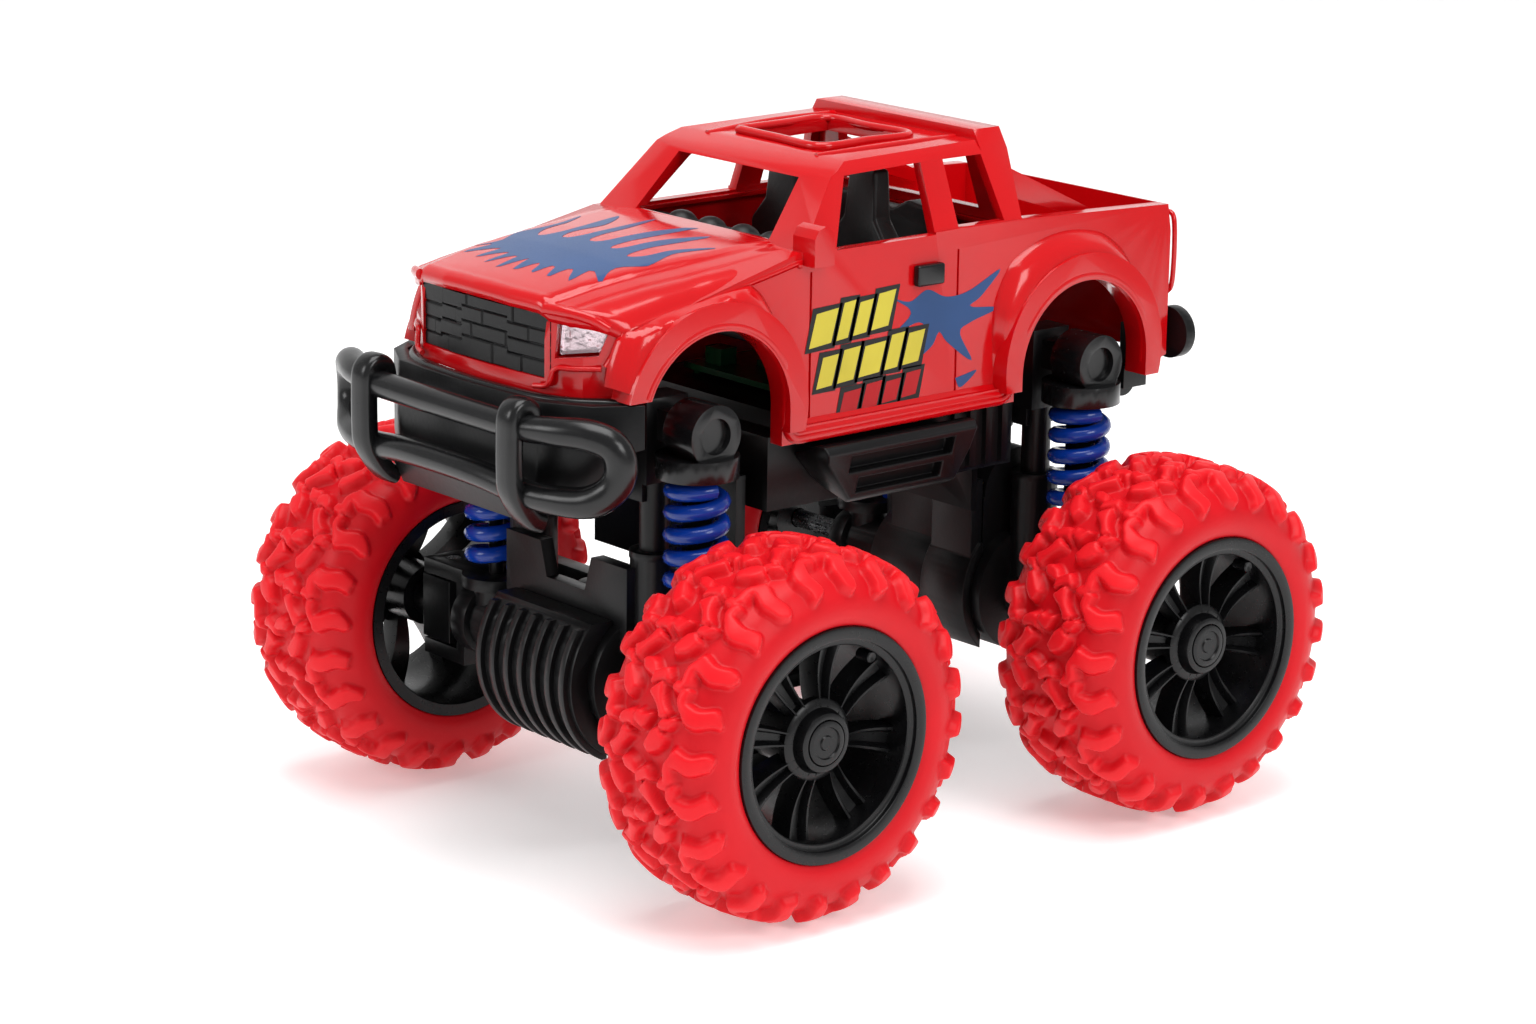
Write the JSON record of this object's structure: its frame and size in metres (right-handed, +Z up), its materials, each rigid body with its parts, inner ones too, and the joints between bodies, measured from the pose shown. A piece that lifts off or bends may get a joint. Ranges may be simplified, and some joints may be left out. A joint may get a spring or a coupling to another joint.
{
  "type": "radio controlled monster truck",
  "caption": "Toy pickup on large lugged tyres, with sprung solid axles, steered front wheels, a geared rear axle, a bull bar and an open cab and bed.",
  "frame": {"origin": "bottom centre of the overall box, on the ground under the tyres", "axes": "+Z up, -Y towards the nose of the truck, +X towards the truck's left side"},
  "size_m": [0.145, 0.1764, 0.136],
  "materials": {
    "body_red": "gloss moulded",
    "black_plastic": "satin moulded",
    "black_gloss": "semi-gloss moulded",
    "tyre_red": "satin vinyl",
    "spring_blue": "gloss",
    "clear_lens": "clear polished",
    "reflector": "bright",
    "steel": "bright steel",
    "brass": "machined",
    "copper": "enamelled winding",
    "gear_white": "natural moulded",
    "board_green": "solder mask",
    "cell_wrap": "shrink sleeve",
    "switch_red": "moulded"
  },
  "bodies": {
    "chassis": {"body_shell": "body_red", "grille_insert": "black_plastic", "headlight_reflectors": "reflector", "headlight_lenses": "clear_lens", "door_handles": "black_plastic", "cabin_tray": "black_plastic", "dashboard": "black_plastic", "steering_wheel": "black_plastic", "front_seats": "black_plastic", "rear_seat": "black_plastic", "body_screws": "steel", "chassis_tub": "black_plastic", "bumper_apron": "black_plastic", "bull_bar": "black_plastic", "side_step_left": "black_plastic", "side_step_right": "black_plastic", "rear_bumper": "black_plastic", "guide_rods": "black_plastic", "shock_tops": "black_plastic", "battery_cells": "cell_wrap", "battery_contacts": "steel", "receiver_board": "board_green", "power_switch_case": "black_plastic", "spring_front_left": "spring_blue", "spring_front_right": "spring_blue", "spring_rear_left": "spring_blue", "spring_rear_right": "spring_blue"},
    "switch_knob": {"power_switch_knob": "switch_red"},
    "battery_hatch": {"battery_door": "black_plastic", "battery_door_screw": "steel"},
    "front_axle": {"front_axle_case": "black_plastic", "front_axle_cover": "black_plastic", "front_shock_rods": "black_plastic", "steering_coil": "copper", "kingpins": "steel"},
    "steering_lever": {"steering_arm": "black_plastic"},
    "tie_bar": {"tie_rod": "black_plastic"},
    "knuckle_l": {"knuckle_left": "black_plastic", "stub_axle_left": "steel"},
    "knuckle_r": {"knuckle_right": "black_plastic", "stub_axle_right": "steel"},
    "wheel_front_left": {"tyre_front_left": "tyre_red", "rim_front_left": "black_gloss", "hub_cap_front_left": "black_gloss"},
    "wheel_front_right": {"tyre_front_right": "tyre_red", "rim_front_right": "black_gloss", "hub_cap_front_right": "black_gloss"},
    "rear_axle": {"rear_axle_case": "black_plastic", "rear_axle_cover": "black_plastic", "rear_shock_rods": "black_plastic", "drive_motor": "steel"},
    "motor_rotor": {"motor_pinion": "brass"},
    "reduction": {"reduction_gear": "gear_white"},
    "rear_wheels": {"rear_axle_shaft": "steel", "axle_gear": "gear_white", "tyre_rear_left": "tyre_red", "rim_rear_left": "black_gloss", "tyre_rear_right": "tyre_red", "rim_rear_right": "black_gloss", "hub_caps_rear": "black_gloss"}
  },
  "joints": [
    {"name": "front_heave", "type": "slide", "parent": "chassis", "child": "front_axle", "axis": [0, 0, 1], "range_m": [-0.004, 0.005], "stiffness_N_per_m": 700, "springref_m": -0.0021, "deforming": ["spring_front_left", "spring_front_right"]},
    {"name": "rear_heave", "type": "slide", "parent": "chassis", "child": "rear_axle", "axis": [0, 0, 1], "range_m": [-0.004, 0.005], "stiffness_N_per_m": 700, "springref_m": -0.0021, "deforming": ["spring_rear_left", "spring_rear_right"]},
    {"name": "steer_left", "type": "hinge", "parent": "front_axle", "child": "knuckle_l", "pos_m": [0.046, -0.04875, 0.036], "axis": [0, 0, 1], "range_deg": [-13, 13], "stiffness_Nm_per_rad": 0.06},
    {"name": "steer_right", "type": "hinge", "parent": "front_axle", "child": "knuckle_r", "pos_m": [-0.046, -0.04875, 0.036], "axis": [0, 0, 1], "range_deg": [-13, 13]},
    {"name": "tie_slide", "type": "slide", "parent": "front_axle", "child": "tie_bar", "axis": [1, 0, 0], "range_m": [-0.003, 0.003]},
    {"name": "lever_turn", "type": "hinge", "parent": "front_axle", "child": "steering_lever", "pos_m": [0, -0.04875, 0.049], "axis": [0, 0, 1], "range_deg": [-13, 13]},
    {"name": "spin_front_left", "type": "hinge", "parent": "knuckle_l", "child": "wheel_front_left", "pos_m": [0.057, -0.04875, 0.036], "axis": [1, 0, 0], "continuous": true},
    {"name": "spin_front_right", "type": "hinge", "parent": "knuckle_r", "child": "wheel_front_right", "pos_m": [-0.057, -0.04875, 0.036], "axis": [1, 0, 0], "continuous": true},
    {"name": "rear_spin", "type": "hinge", "parent": "rear_axle", "child": "rear_wheels", "pos_m": [0, 0.05225, 0.036], "axis": [1, 0, 0], "continuous": true},
    {"name": "reduction_spin", "type": "hinge", "parent": "rear_axle", "child": "reduction", "pos_m": [0, 0.05225, 0.0475], "axis": [1, 0, 0], "continuous": true},
    {"name": "motor_spin", "type": "hinge", "parent": "rear_axle", "child": "motor_rotor", "pos_m": [0, 0.05225, 0.0565], "axis": [1, 0, 0], "continuous": true},
    {"name": "switch_slide", "type": "slide", "parent": "chassis", "child": "switch_knob", "axis": [1, 0, 0], "range_m": [0, 0.0042]},
    {"name": "hatch_swing", "type": "hinge", "parent": "chassis", "child": "battery_hatch", "pos_m": [0, 0.03675, 0.067], "axis": [1, 0, 0], "range_deg": [0, 60]}
  ],
  "couplings": [
    {"joint": "steer_right", "follows": "steer_left", "ratio": 1},
    {"joint": "tie_slide", "follows": "steer_left", "m_per_rad": -0.013},
    {"joint": "lever_turn", "follows": "steer_left", "ratio": 1},
    {"joint": "reduction_spin", "follows": "rear_spin", "ratio": -3.6},
    {"joint": "motor_spin", "follows": "rear_spin", "ratio": 9.36}
  ]
}
